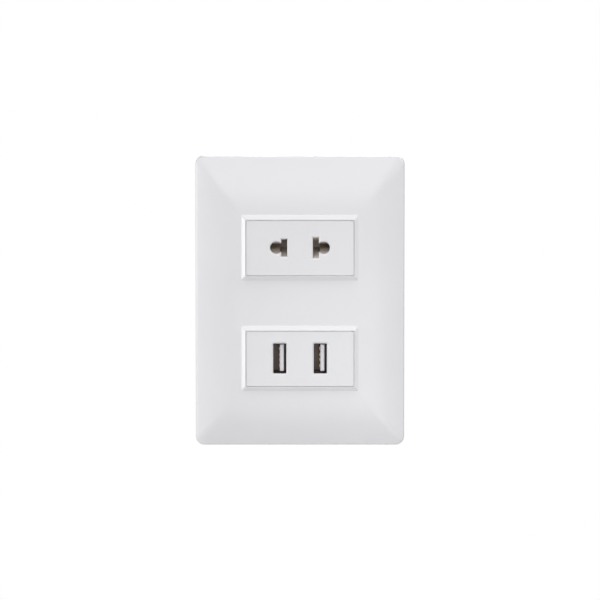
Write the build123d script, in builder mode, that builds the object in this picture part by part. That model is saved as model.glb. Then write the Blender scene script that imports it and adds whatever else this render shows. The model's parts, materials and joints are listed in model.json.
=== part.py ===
from build123d import *
from math import sqrt
import os

# Wall socket with two USB ports: a curved cover plate, a frame that is screwed to the wall box, and
# two half-height modules that snap into the frame. The upper module takes round pins or flat blades,
# and the lower one is a charger with two upright USB ports.
# Millimetres, +X to the right, +Z up, +Y into the wall. The wall is the plane Y = 0. A height is
# measured out of the wall, along -Y, and a depth into it, along +Y.

# Module fronts
face_width = 43.4
face_height = 22.5
face_corner = 0.5
face_edge_round = 0.3
face_wall = 1.8
face_side = 1.2
face_recess = 0.3
face_gap = 0.1
module_pitch = 45.0
flange_overlap = 1.4
flange_thickness = 1.6

# Cover plate
plate_wall = 2.0
plate_corner = 3.4
rim_height = 3.0
flat_height = 8.2
slope_side_width = 18.2
slope_end_width = 22.2
lip_height = 1.6
lip_land = 0.2
lip_side_width = 1.75
lip_end_width = 1.95
lip_corner = 1.3
skirt_wall = 1.2
skirt_clearance = 0.3
hook_pitch = 60.0
hook_width = 8.0
hook_thickness = 1.4
hook_catch = 0.8
hook_bottom = 0.3
hook_clearance = 0.2
hook_play = 0.1

# Mounting frame and the screws that hold it to the wall box
frame_thickness = 2.4
frame_side = 10.8
frame_corner = 3.0
frame_inset_x = 7.25
frame_inset_z = 3.7
ledge_thickness = 1.2
ledge_room = 0.4
bay_clearance = 0.25
box_screw_pitch = 83.5
box_screw_edge = 11.25
box_screw_slot = 9.0
box_screw_radius = 1.75
box_screw_neck = 1.45
box_screw_length = 22.0
box_screw_tip = 0.6
box_screw_head = 3.3
box_screw_head_height = 2.0
box_screw_clearance = 0.35
head_round = 0.5
recess_length = 3.4
recess_width = 0.8
recess_depth = 1.0

# Module housings
base_wall = 2.4
base_back = 2.0
socket_depth = 28.0
usb_depth = 34.0
spigot_height = 3.6
spigot_clearance = 0.1
base_edge = 0.6
base_corner_margin = 0.2
panel_depth = 0.3
panel_margin = 2.0
latch_catch = 0.7
latch_clearance = 0.15
latch_drop = 2.2
latch_width = 8.0
latch_length = 8.0
latch_front = 0.5
latch_slit = 0.8
vent_count = 6
vent_pitch = 3.0
vent_width = 1.4
vent_length = 12.0

# Screw clamps for the wires, one at each end of a module
strip = 0.8
terminal_depth = 17.5
terminal_reach = 5.0
wire_gap = 2.4
clamp_thickness = 1.2
clamp_length = 8.0
clamp_width = 9.0
clamp_travel = 1.8
chamber_clearance = 0.3
screw_radius = 1.5
screw_head = 2.9
screw_head_height = 1.9
screw_tip = 0.3
screw_tip_chamfer = 0.25
screw_play = 0.05
thread_clearance = 0.05
clamp_hole_clearance = 0.1
pocket_clearance = 0.3
pocket_end_clearance = 0.2
pocket_wall = 1.0
driver_recess = 1.85
driver_clearance = 0.35

# Socket slots and contacts
pin_pitch = 19.0
pin_hole_radius = 2.5
blade_pitch = 12.7
blade_slot_width = 2.4
left_blade_slot = 7.1
right_blade_slot = 8.4
slot_neck = 4.4
slot_neck_depth = 1.0
slot_chamfer = 0.5
contact_depth = 10.0
blade_leaf_gap = 5.0
pin_leaf_gap = 2.4
leaf_slit = 0.4
leaf_flare = 1.5
leaf_flare_length = 3.0
leaf_tip_clearance = 0.4

# USB ports
port_pitch = 16.3
port_width = 5.3
port_height = 12.3
port_corner = 0.4
port_chamfer = 0.6
shell_width = 5.12
shell_height = 12.5
shell_sheet = 0.3
shell_corner = 0.35
shell_clearance = 0.1
tongue_thickness = 1.75
tongue_width = 11.0
tongue_offset = 0.85
tongue_recess = 0.8
tongue_length = 8.2
tongue_edge = 0.3
insulator_clearance = 0.05
usb_pin_width = 1.0
usb_pin_sheet = 0.3
usb_pin_recess = 2.2
usb_pin_places = (-3.5, -1.0, 1.0, 3.5)

# Charger electronics
board_thickness = 1.6
board_clearance = 0.25
front_board_depth = 4.8
terminal_arm_depth = 9.0
terminal_arm_width = 3.0
terminal_leg_width = 1.6
terminal_leg_inset = 0.7
arm_clearance = 0.1
transformer_depth = 17.0
core_width = 14.0
core_height = 12.4
core_thickness = 5.0
core_leg = 4.4
core_yoke = 2.2
core_lift = 0.4
bobbin_clearance = 0.1
bobbin_wall = 0.6
bobbin_flange = 0.7
bobbin_length = 11.2
winding_inset = 0.3
capacitor_depth = 27.6
input_capacitor_radius = 3.9
input_capacitor_height = 12.0
output_capacitor_radius = 3.1
output_capacitor_height = 11.0
capacitor_wall_gap = 0.6
capacitor_round = 0.6
capacitor_groove = 0.35
capacitor_groove_height = 1.6
fuse_depth = 8.65
fuse_radius = 1.5
fuse_length = 8.0
fuse_lift = 1.0
fuse_lead = 0.4
fuse_lead_overhang = 1.4
chip_x = 5.0
chip_board_margin = 1.9
chip_length = 4.9
chip_width = 3.9
chip_height = 1.5
rectifier_height = 2.2
chip_lift = 0.2
chip_edge = 0.2
chip_lead_width = 0.5
chip_lead_length = 0.9
chip_lead_pitch = 1.27
rectifier_lead_pitch = 2.54

# Places that follow from the sizes above
socket_z = module_pitch / 2
usb_z = -module_pitch / 2
module_places = (socket_z, usb_z)
sides = {"left": -1, "right": 1}

bay_width = face_width + 2 * bay_clearance
bay_height = face_height + 2 * bay_clearance
frame_width = bay_width + 2 * frame_side
frame_height = box_screw_pitch + 2 * box_screw_edge
plate_width = frame_width + 2 * (frame_inset_x + plate_wall)
plate_height = frame_height + 2 * (frame_inset_z + plate_wall)

window_width = face_width + 2 * face_gap
window_height = face_height + 2 * face_gap
lip_spread = (lip_height + plate_wall / 2) / lip_height
lip_root_width = window_width + 2 * (lip_land + (lip_side_width - lip_land) * lip_spread)
lip_root_length = window_height + 2 * (lip_land + (lip_end_width - lip_land) * lip_spread)
ridge_width = window_width + 2 * lip_land
ridge_length = window_height + 2 * lip_land
slope_drop = flat_height - rim_height

flange_top = frame_thickness + flange_thickness
face_front = flat_height + lip_height - face_recess
face_inside = face_front - face_wall
room_half_x = face_width / 2 - base_wall
room_half_z = face_height / 2 - base_wall

head_under = face_width / 2 - driver_recess - screw_head_height
clamp_outside = head_under - screw_play
clamp_inside = clamp_outside - clamp_thickness
terminal_front = clamp_inside - wire_gap
terminal_back = terminal_front - strip
screw_end = terminal_back - screw_tip
pocket_end = screw_end - clamp_travel - pocket_end_clearance
chamber_width = room_half_x - terminal_back
chamber_x = (room_half_x + terminal_back) / 2
chamber_height = clamp_width + 2 * chamber_clearance
terminal_end = terminal_depth + terminal_reach

blade_leaf_start = (blade_pitch - blade_slot_width) / 2
pin_leaf_start = blade_leaf_start + blade_slot_width + leaf_slit
pin_leaf_end = pin_pitch / 2 + pin_hole_radius
contact_room_half_z = blade_leaf_gap / 2 + leaf_flare + strip + chamber_clearance

shell_front = face_inside - shell_clearance
tongue_tip = shell_front - tongue_recess
front_board_back = front_board_depth + board_thickness
cavity_half_x = pocket_end - pocket_wall
main_board_floor = usb_z - room_half_z
main_board_top = main_board_floor + board_thickness
usb_room_back = usb_depth - base_back
front_board_half_z = room_half_z - board_clearance
chip_z = usb_z + front_board_half_z - chip_board_margin - chip_width / 2
input_capacitor_x = input_capacitor_radius + capacitor_wall_gap - cavity_half_x
output_capacitor_x = cavity_half_x - capacitor_wall_gap - output_capacitor_radius

os.makedirs("parts", exist_ok=True)


def front_plane(height, z=0.0):
    """Plane parallel to the wall, facing the room, with its local axes along +X and +Z."""
    return Plane(origin=(0, -height, z), x_dir=(1, 0, 0), z_dir=(0, -1, 0))


def end_plane(side, x, depth, z):
    """Plane across X that faces outwards on the given side."""
    return Plane(origin=(side * x, depth, z), x_dir=(0, 1, 0), z_dir=(side, 0, 0))


def arch(plane, outer_half, slope_width, inset):
    """Section with arcs tangent to the plate's flat top, or evenly inside it, a wall wider than the plate."""
    radius = (slope_width**2 + slope_drop**2) / (2 * slope_drop)
    reach = slope_width - inset + plate_wall
    foot = flat_height - radius + sqrt((radius - inset) ** 2 - reach**2)
    top = flat_height - inset
    flat = outer_half - slope_width
    half_width = flat + reach
    with BuildSketch(plane) as section:
        with BuildLine():
            Polyline(
                (-half_width, foot),
                (-half_width, -plate_wall),
                (half_width, -plate_wall),
                (half_width, foot),
            )
            TangentArc((flat, top), (half_width, foot), tangent=(1, 0))
            Line((flat, top), (-flat, top))
            TangentArc((-flat, top), (-half_width, foot), tangent=(-1, 0))
        make_face()
    return section.sketch


def pillow(inset):
    """The plate's outer form, or one that lies evenly inside it."""
    half_x = plate_width / 2
    half_z = plate_height / 2
    across = Plane(origin=(0, 0, 0), x_dir=(1, 0, 0), z_dir=(0, 0, -1))
    along = Plane(origin=(0, 0, 0), x_dir=(0, 0, 1), z_dir=(1, 0, 0))
    side_arch = arch(across, half_x, slope_side_width, inset)
    end_arch = arch(along, half_z, slope_end_width, inset)
    with BuildPart() as body:
        with BuildSketch(Plane.XZ):
            RectangleRounded(plate_width - 2 * inset, plate_height - 2 * inset, plate_corner - inset)
        extrude(amount=flat_height + plate_wall)
        extrude(side_arch, amount=half_z + plate_wall, both=True, mode=Mode.INTERSECT)
        extrude(end_arch, amount=half_x + plate_wall, both=True, mode=Mode.INTERSECT)
    return body.part


def plate_hooks():
    """Four hooks inside the plate that catch under the frame's ledges."""
    edge = frame_width / 2
    inner = edge + hook_clearance
    barb_top = frame_thickness - ledge_thickness - hook_play
    across = Plane(origin=(0, 0, 0), x_dir=(1, 0, 0), z_dir=(0, 0, -1))
    with BuildPart() as hooks:
        for z in (-hook_pitch / 2, hook_pitch / 2):
            with BuildSketch(across.offset(-z)):
                with BuildLine():
                    Polyline(
                        (inner, flat_height),
                        (inner, barb_top),
                        (edge - hook_catch, barb_top),
                        (inner, hook_bottom),
                        (inner + hook_thickness, hook_bottom),
                        (inner + hook_thickness, flat_height),
                        close=True,
                    )
                make_face()
                mirror(about=Plane.YZ)
            extrude(amount=hook_width / 2, both=True)
        add(pillow(plate_wall / 2), mode=Mode.INTERSECT)
    return hooks.part


def module_face(z):
    """Front of a module: a shallow box, open to the rear, with a seat flange at each end."""
    with BuildPart() as face:
        with BuildSketch(front_plane(frame_thickness, z)):
            RectangleRounded(face_width, face_height, face_corner)
        extrude(amount=face_front - frame_thickness)
        fillet(face.faces().sort_by(Axis.Y)[0].edges(), face_edge_round)
        with BuildSketch(front_plane(frame_thickness, z)):
            Rectangle(bay_width + 2 * flange_overlap, face_height - 2 * face_corner)
        extrude(amount=flange_thickness)
        with BuildSketch(front_plane(frame_thickness, z)):
            Rectangle(face_width - 2 * face_side, face_height - 2 * face_side)
        extrude(amount=face_inside - frame_thickness, mode=Mode.SUBTRACT)
    return face.part


def module_base(z, depth):
    """Rear housing of a module, with its spigot, latches and terminal chambers."""
    wall_x = face_width / 2
    catch_x = bay_width / 2 + latch_catch
    spigot_width = face_width - 2 * (face_side + spigot_clearance)
    spigot_length = face_height - 2 * (face_side + spigot_clearance)
    tongue_reach = latch_length + latch_front
    tongue_middle = (latch_length - latch_front - latch_slit) / 2
    with BuildPart() as base:
        with BuildSketch(front_plane(frame_thickness, z)):
            RectangleRounded(face_width, face_height, base_edge + base_corner_margin)
        extrude(amount=-(frame_thickness + depth))
        chamfer(base.faces().sort_by(Axis.Y)[-1].edges(), base_edge)
        with BuildSketch(front_plane(-depth, z)):
            Rectangle(2 * (terminal_back - panel_margin), face_height - 2 * (base_edge + panel_margin))
        extrude(amount=panel_depth, mode=Mode.SUBTRACT)
        with BuildSketch(front_plane(frame_thickness, z)):
            Rectangle(spigot_width, spigot_length)
            Rectangle(2 * room_half_x, 2 * room_half_z, mode=Mode.SUBTRACT)
        extrude(amount=spigot_height)
        with BuildSketch(Plane.XY.offset(z)):
            with BuildLine():
                Polyline(
                    (wall_x, latch_clearance),
                    (catch_x, latch_clearance),
                    (wall_x, latch_clearance + latch_drop),
                    close=True,
                )
            make_face()
            mirror(about=Plane.YZ)
        extrude(amount=latch_width / 2, both=True)
        with BuildSketch(front_plane(-depth, z)):
            with Locations((-chamber_x, 0), (chamber_x, 0)):
                Rectangle(chamber_width, chamber_height)
        extrude(amount=depth + frame_thickness, mode=Mode.SUBTRACT)
        for side in sides.values():
            with BuildSketch(end_plane(side, pocket_end, terminal_depth, z)):
                Circle(screw_radius + pocket_clearance)
            extrude(amount=terminal_front - pocket_end, mode=Mode.SUBTRACT)
            with BuildSketch(end_plane(side, room_half_x, terminal_depth, z)):
                Circle(screw_head + driver_clearance)
            extrude(amount=base_wall, mode=Mode.SUBTRACT)
            with BuildSketch(end_plane(side, room_half_x, tongue_middle, z)):
                Rectangle(tongue_reach + latch_slit, latch_width + 2 * latch_slit)
                with Locations((latch_slit / 2, 0)):
                    Rectangle(tongue_reach, latch_width, mode=Mode.SUBTRACT)
            extrude(amount=base_wall, mode=Mode.SUBTRACT)
    return base.part


def terminal_plate(side, z, start):
    """Upright brass plate at the inner wall of a terminal chamber, with the screw's threaded hole."""
    length = terminal_end - start
    with BuildPart() as plate:
        with BuildSketch(end_plane(side, terminal_back, start + length / 2, z)):
            Rectangle(length, clamp_width)
        extrude(amount=strip)
        with BuildSketch(end_plane(side, terminal_back, terminal_depth, z)):
            Circle(screw_radius + thread_clearance)
        extrude(amount=strip, mode=Mode.SUBTRACT)
    return plate.part


def surface_chip(x, z, height, lead_places):
    """Moulded chip on the rear of the front board, with flat leads on two sides."""
    lead_height = chip_lift + height / 2
    lead_x = (chip_length + chip_lead_length) / 2
    board = front_plane(-front_board_back, z)
    with BuildPart() as chip:
        with BuildSketch(board.offset(-chip_lift)):
            with Locations((x, 0)):
                Rectangle(chip_length, chip_width)
        extrude(amount=-height)
        chamfer(chip.faces().sort_by(Axis.Y)[-1].edges(), chip_edge)
        with BuildSketch(board):
            for place in lead_places:
                with Locations((x - lead_x, place), (x + lead_x, place)):
                    Rectangle(chip_lead_length, chip_lead_width)
        extrude(amount=-lead_height)
    return chip.part


def capacitor(x, radius, height):
    """Can capacitor that stands on the main board, with a crimp groove near its foot."""
    with BuildPart() as can:
        with BuildSketch(Plane(origin=(x, capacitor_depth, main_board_top))):
            Circle(radius)
        extrude(amount=height)
        fillet(can.faces().sort_by(Axis.Z)[-1].edges(), capacitor_round)
        with BuildSketch(Plane(origin=(x, capacitor_depth, main_board_top + capacitor_groove_height))):
            Circle(radius)
            Circle(radius - capacitor_groove, mode=Mode.SUBTRACT)
        extrude(amount=capacitor_groove, both=True, mode=Mode.SUBTRACT)
    return can.part


# The cover plate is a shell of even thickness. A bevelled lip rises round each window in front, and
# a skirt behind it reaches down to the module's flange. Lips, skirts and hooks are rooted in the
# middle of the shell's wall.
plate_form = pillow(0.0)
plate_core = pillow(plate_wall)
hooks = plate_hooks()
root_height = flat_height - plate_wall / 2
skirt_bottom = flange_top + skirt_clearance
with BuildPart() as cover_plate:
    add(plate_form)
    for place in module_places:
        with BuildSketch(front_plane(root_height, place)):
            RectangleRounded(lip_root_width, lip_root_length, lip_corner)
        with BuildSketch(front_plane(flat_height + lip_height, place)):
            RectangleRounded(ridge_width, ridge_length, lip_land + face_corner)
        loft(ruled=True)
    add(plate_core, mode=Mode.SUBTRACT)
    add(hooks)
    for place in module_places:
        with BuildSketch(front_plane(skirt_bottom, place)):
            Rectangle(window_width + 2 * skirt_wall, window_height + 2 * skirt_wall)
        extrude(amount=root_height - skirt_bottom)
        with BuildSketch(front_plane(flange_top, place)):
            RectangleRounded(window_width, window_height, face_corner)
        extrude(amount=flat_height + 2 * lip_height - flange_top, mode=Mode.SUBTRACT)
cover_plate.part.label = "cover_plate"
export_step(cover_plate.part, "parts/cover_plate.step")

# The frame lies on the wall. Its two bays hold the modules, and ledges at its long edges hold the
# plate's hooks.
hook_places = [
    (side * (frame_width / 2), place)
    for side in sides.values()
    for place in (-hook_pitch / 2, hook_pitch / 2)
]
with BuildPart() as mounting_frame:
    with BuildSketch(Plane.XZ):
        RectangleRounded(frame_width, frame_height, frame_corner)
        with Locations(*[(0, place) for place in module_places]):
            Rectangle(bay_width, bay_height, mode=Mode.SUBTRACT)
        with GridLocations(0, box_screw_pitch, 1, 2):
            SlotOverall(box_screw_slot, 2 * (box_screw_radius + box_screw_clearance), mode=Mode.SUBTRACT)
    extrude(amount=frame_thickness)
    with BuildSketch(Plane.XZ):
        with Locations(*hook_places):
            Rectangle(2 * (hook_catch + ledge_room), hook_width + 2 * ledge_room)
    extrude(amount=frame_thickness - ledge_thickness, mode=Mode.SUBTRACT)
mounting_frame.part.label = "mounting_frame"
export_step(mounting_frame.part, "parts/mounting_frame.step")

# The box screws' heads lie on the frame, their necks pass it, and the thread starts at the wall.
with BuildPart() as box_screws:
    with BuildSketch(front_plane(frame_thickness)):
        with GridLocations(0, box_screw_pitch, 1, 2):
            Circle(box_screw_head)
    extrude(amount=box_screw_head_height)
    fillet(box_screws.faces().group_by(Axis.Y)[0].edges(), head_round)
    with BuildSketch(front_plane(frame_thickness + box_screw_head_height)):
        with GridLocations(0, box_screw_pitch, 1, 2):
            Rectangle(recess_length, recess_width)
            Rectangle(recess_width, recess_length)
    extrude(amount=-recess_depth, mode=Mode.SUBTRACT)
    with BuildSketch(front_plane(frame_thickness)):
        with GridLocations(0, box_screw_pitch, 1, 2):
            Circle(box_screw_neck)
    extrude(amount=-frame_thickness)
    with BuildSketch(Plane.XZ):
        with GridLocations(0, box_screw_pitch, 1, 2):
            Circle(box_screw_radius)
    extrude(amount=-box_screw_length)
    chamfer(box_screws.faces().group_by(Axis.Y)[-1].edges(), box_screw_tip)
box_screws.part.label = "box_screws"
export_step(box_screws.part, "parts/box_screws.step")

# Each slot of the socket is a round hole that runs into an upright blade slot nearer the middle, and
# a broader neck joins the two at the front.
slot_neck_length = (pin_pitch - blade_pitch) / 2
slot_neck_x = (pin_pitch + blade_pitch) / 4
socket_form = module_face(socket_z)
with BuildPart() as socket_face:
    add(socket_form)
    with BuildSketch(front_plane(face_front, socket_z)):
        for side, blade_slot in zip(sides.values(), (left_blade_slot, right_blade_slot)):
            with Locations((side * pin_pitch / 2, 0)):
                Circle(pin_hole_radius)
            with Locations((side * blade_pitch / 2, 0)):
                Rectangle(blade_slot_width, blade_slot)
    extrude(amount=-face_wall, mode=Mode.SUBTRACT)
    with BuildSketch(front_plane(face_front, socket_z)):
        with GridLocations(2 * slot_neck_x, 0, 2, 1):
            Rectangle(slot_neck_length, slot_neck)
    extrude(amount=-slot_neck_depth, mode=Mode.SUBTRACT)
    mouths = socket_face.faces().sort_by(Axis.Y)[0].inner_wires()
    chamfer([edge for mouth in mouths for edge in mouth.edges()], slot_chamfer)
socket_face.part.label = "socket_face"
export_step(socket_face.part, "parts/socket_face.step")

# The socket's housing has a room for each contact in front, open to the terminal chamber beside it.
contact_room_start = blade_leaf_start - chamber_clearance
contact_room_width = terminal_back - contact_room_start
socket_housing = module_base(socket_z, socket_depth)
with BuildPart() as socket_base:
    add(socket_housing)
    with BuildSketch(front_plane(-(contact_depth + strip), socket_z)):
        with GridLocations(2 * contact_room_start + contact_room_width, 0, 2, 1):
            Rectangle(contact_room_width, 2 * contact_room_half_z)
    extrude(amount=contact_depth + strip + frame_thickness, mode=Mode.SUBTRACT)
socket_base.part.label = "socket_base"
export_step(socket_base.part, "parts/socket_base.step")

# A contact is one brass strip: flared leaves that grip a pin or a blade, a web on the floor of its
# room, and the terminal plate.
leaf_tip = face_inside - leaf_tip_clearance
leaves = (
    (blade_leaf_start, blade_slot_width, blade_leaf_gap),
    (pin_leaf_start, pin_leaf_end - pin_leaf_start, pin_leaf_gap),
)
web_width = terminal_front - blade_leaf_start
for side_name, side in sides.items():
    contact_terminal = terminal_plate(side, socket_z, contact_depth)
    with BuildPart() as contact:
        add(contact_terminal)
        with BuildSketch(front_plane(-contact_depth, socket_z)):
            with Locations((side * (blade_leaf_start + web_width / 2), 0)):
                Rectangle(web_width, blade_leaf_gap + 2 * strip)
        extrude(amount=-strip)
        for start, width, gap in leaves:
            with BuildSketch(end_plane(side, start, 0, socket_z)):
                with BuildLine():
                    Polyline(
                        (contact_depth, gap / 2),
                        (leaf_flare_length - leaf_tip, gap / 2),
                        (-leaf_tip, gap / 2 + leaf_flare),
                        (-leaf_tip, gap / 2 + leaf_flare + strip),
                        (leaf_flare_length - leaf_tip, gap / 2 + strip),
                        (contact_depth, gap / 2 + strip),
                        close=True,
                    )
                make_face()
                mirror(about=Plane.XZ)
            extrude(amount=width)
    contact.part.label = f"socket_{side_name}_contact"
    export_step(contact.part, f"parts/socket_{side_name}_contact.step")

# The charger's front has two upright ports.
usb_form = module_face(usb_z)
with BuildPart() as usb_face:
    add(usb_form)
    with BuildSketch(front_plane(face_front, usb_z)):
        with GridLocations(port_pitch, 0, 2, 1):
            RectangleRounded(port_width, port_height, port_corner)
    extrude(amount=-face_wall, mode=Mode.SUBTRACT)
    mouths = usb_face.faces().sort_by(Axis.Y)[0].inner_wires()
    chamfer([edge for mouth in mouths for edge in mouth.edges()], port_chamfer)
usb_face.part.label = "usb_face"
export_step(usb_face.part, "parts/usb_face.step")

# The charger's housing: a wide room in front with a ledge for the front board, a narrower one behind
# it for the main board, a slot in each partition for the terminal's arm, and vents in the top.
arm_bottom = terminal_arm_depth + strip
usb_housing = module_base(usb_z, usb_depth)
with BuildPart() as usb_base:
    add(usb_housing)
    with BuildSketch(front_plane(frame_thickness, usb_z)):
        Rectangle(2 * room_half_x, 2 * room_half_z)
    extrude(amount=-(frame_thickness + front_board_back), mode=Mode.SUBTRACT)
    with BuildSketch(front_plane(frame_thickness, usb_z)):
        Rectangle(2 * cavity_half_x, 2 * room_half_z)
    extrude(amount=-(frame_thickness + usb_room_back), mode=Mode.SUBTRACT)
    with BuildSketch(front_plane(frame_thickness, usb_z)):
        Rectangle(2 * terminal_front, terminal_arm_width + 2 * arm_clearance)
    extrude(amount=-(frame_thickness + arm_bottom), mode=Mode.SUBTRACT)
    with BuildSketch(Plane(origin=(0, transformer_depth, usb_z + room_half_z))):
        with GridLocations(vent_pitch, 0, vent_count, 1):
            SlotOverall(vent_length, vent_width, rotation=90)
    extrude(amount=base_wall, mode=Mode.SUBTRACT)
usb_base.part.label = "usb_base"
export_step(usb_base.part, "parts/usb_base.step")

# Each port is a folded metal sleeve on the front board, with a plastic tongue and four contact strips.
# The tongue stands off centre, and its contacts face the wider side of the port.
shell_length = shell_front + front_board_depth
tongue_root = tongue_tip - tongue_length
block_width = shell_width - 2 * insulator_clearance
block_height = shell_height - 2 * insulator_clearance
pin_top = tongue_tip - usb_pin_recess
for side_name, side in sides.items():
    port_x = side * port_pitch / 2
    tongue_x = port_x + tongue_offset
    pin_x = tongue_x - (tongue_thickness + usb_pin_sheet) / 2
    pin_spots = [(pin_x, place) for place in usb_pin_places]

    with BuildPart() as shell:
        with BuildSketch(front_plane(shell_front, usb_z)):
            with Locations((port_x, 0)):
                RectangleRounded(
                    shell_width + 2 * shell_sheet,
                    shell_height + 2 * shell_sheet,
                    shell_corner + shell_sheet,
                )
                RectangleRounded(shell_width, shell_height, shell_corner, mode=Mode.SUBTRACT)
        extrude(amount=-shell_length)
    shell.part.label = f"usb_{side_name}_shell"
    export_step(shell.part, f"parts/usb_{side_name}_shell.step")

    with BuildPart() as tongue:
        with BuildSketch(front_plane(tongue_tip, usb_z)):
            with Locations((tongue_x, 0)):
                Rectangle(tongue_thickness, tongue_width)
        extrude(amount=-tongue_length)
        chamfer(tongue.faces().sort_by(Axis.Y)[0].edges(), tongue_edge)
        with BuildSketch(front_plane(tongue_root, usb_z)):
            with Locations((port_x, 0)):
                RectangleRounded(block_width, block_height, shell_corner)
            with Locations(*pin_spots):
                Rectangle(usb_pin_sheet, usb_pin_width, mode=Mode.SUBTRACT)
        extrude(amount=-(tongue_root + front_board_depth))
    tongue.part.label = f"usb_{side_name}_tongue"
    export_step(tongue.part, f"parts/usb_{side_name}_tongue.step")

    with BuildPart() as pins:
        with BuildSketch(front_plane(pin_top, usb_z)):
            with Locations(*pin_spots):
                Rectangle(usb_pin_sheet, usb_pin_width)
        extrude(amount=-(pin_top + front_board_depth))
    pins.part.label = f"usb_{side_name}_pins"
    export_step(pins.part, f"parts/usb_{side_name}_pins.step")

# The front board lies on the housing's ledge, and the main board stands behind it on the floor.
with BuildPart() as front_board:
    with BuildSketch(front_plane(-front_board_depth, usb_z)):
        Rectangle(2 * (room_half_x - board_clearance), 2 * front_board_half_z)
    extrude(amount=-board_thickness)
front_board.part.label = "front_board"
export_step(front_board.part, "parts/front_board.step")

main_board_length = usb_room_back - board_clearance - front_board_back
with BuildPart() as main_board:
    with BuildSketch(Plane(origin=(0, front_board_back + main_board_length / 2, main_board_floor))):
        Rectangle(2 * (cavity_half_x - board_clearance), main_board_length)
    extrude(amount=board_thickness)
main_board.part.label = "main_board"
export_step(main_board.part, "parts/main_board.step")

# The transformer: a ferrite core with two windows, a bobbin on its middle leg, and the winding.
core_bottom = main_board_top + core_lift
core_z = core_bottom + core_height / 2
core_window_height = core_height - 2 * core_yoke
core_window_width = (core_width - core_leg) / 2 - core_yoke
core_window_x = (core_leg + core_window_width) / 2
core_plane = Plane(origin=(0, transformer_depth, core_z), x_dir=(1, 0, 0), z_dir=(0, -1, 0))
with BuildPart() as transformer_core:
    with BuildSketch(core_plane):
        Rectangle(core_width, core_height)
        with GridLocations(2 * core_window_x, 0, 2, 1):
            Rectangle(core_window_width, core_window_height, mode=Mode.SUBTRACT)
    extrude(amount=core_thickness / 2, both=True)
transformer_core.part.label = "transformer_core"
export_step(transformer_core.part, "parts/transformer_core.step")

bobbin_height = core_window_height - 2 * bobbin_clearance
bobbin_bottom = core_bottom + core_yoke + bobbin_clearance
bobbin_plane = Plane(origin=(0, transformer_depth, bobbin_bottom))
bore_x = core_leg + 2 * bobbin_clearance
bore_y = core_thickness + 2 * bobbin_clearance
tube_x = bore_x + 2 * bobbin_wall
tube_y = bore_y + 2 * bobbin_wall
flange_x = core_leg + 2 * (core_window_width - bobbin_clearance)
foot_length = (bobbin_length - bore_y) / 2
with BuildPart() as transformer_bobbin:
    with BuildSketch(bobbin_plane):
        Rectangle(tube_x, tube_y)
    extrude(amount=bobbin_height)
    with BuildSketch(bobbin_plane, bobbin_plane.offset(bobbin_height - bobbin_flange)):
        Rectangle(flange_x, bobbin_length)
    extrude(amount=bobbin_flange)
    with BuildSketch(bobbin_plane):
        Rectangle(bore_x, bore_y)
    extrude(amount=bobbin_height, mode=Mode.SUBTRACT)
    with BuildSketch(bobbin_plane):
        with GridLocations(0, bobbin_length - foot_length, 1, 2):
            Rectangle(flange_x, foot_length)
    extrude(amount=main_board_top - bobbin_bottom)
transformer_bobbin.part.label = "transformer_bobbin"
export_step(transformer_bobbin.part, "parts/transformer_bobbin.step")

with BuildPart() as transformer_winding:
    with BuildSketch(bobbin_plane.offset(bobbin_flange)):
        Rectangle(flange_x - 2 * winding_inset, bobbin_length - 2 * winding_inset)
        Rectangle(tube_x, tube_y, mode=Mode.SUBTRACT)
    extrude(amount=bobbin_height - 2 * bobbin_flange)
transformer_winding.part.label = "transformer_winding"
export_step(transformer_winding.part, "parts/transformer_winding.step")

# Small parts of the charger
with BuildPart() as input_capacitor:
    add(capacitor(input_capacitor_x, input_capacitor_radius, input_capacitor_height))
input_capacitor.part.label = "input_capacitor"
export_step(input_capacitor.part, "parts/input_capacitor.step")

with BuildPart() as output_capacitor:
    add(capacitor(output_capacitor_x, output_capacitor_radius, output_capacitor_height))
output_capacitor.part.label = "output_capacitor"
export_step(output_capacitor.part, "parts/output_capacitor.step")

fuse_z = main_board_top + fuse_lift + fuse_radius
lead_x = fuse_length / 2 + fuse_lead_overhang
with BuildPart() as fuse_resistor:
    with BuildSketch(end_plane(1, 0, fuse_depth, fuse_z)):
        Circle(fuse_radius)
    extrude(amount=fuse_length / 2, both=True)
    with BuildSketch(end_plane(1, 0, fuse_depth, fuse_z)):
        Circle(fuse_lead)
    extrude(amount=lead_x, both=True)
    with BuildSketch(Plane(origin=(0, fuse_depth, main_board_top))):
        with GridLocations(2 * (lead_x - fuse_lead), 0, 2, 1):
            Circle(fuse_lead)
    extrude(amount=fuse_z - main_board_top)
fuse_resistor.part.label = "fuse_resistor"
export_step(fuse_resistor.part, "parts/fuse_resistor.step")

chip_leads = [chip_lead_pitch * step for step in (-1, 0, 1)]
rectifier_leads = [rectifier_lead_pitch * step for step in (-0.5, 0.5)]
with BuildPart() as controller_chip:
    add(surface_chip(chip_x, chip_z, chip_height, chip_leads))
controller_chip.part.label = "controller_chip"
export_step(controller_chip.part, "parts/controller_chip.step")

with BuildPart() as bridge_rectifier:
    add(surface_chip(-chip_x, chip_z, rectifier_height, rectifier_leads))
bridge_rectifier.part.label = "bridge_rectifier"
export_step(bridge_rectifier.part, "parts/bridge_rectifier.step")

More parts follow.
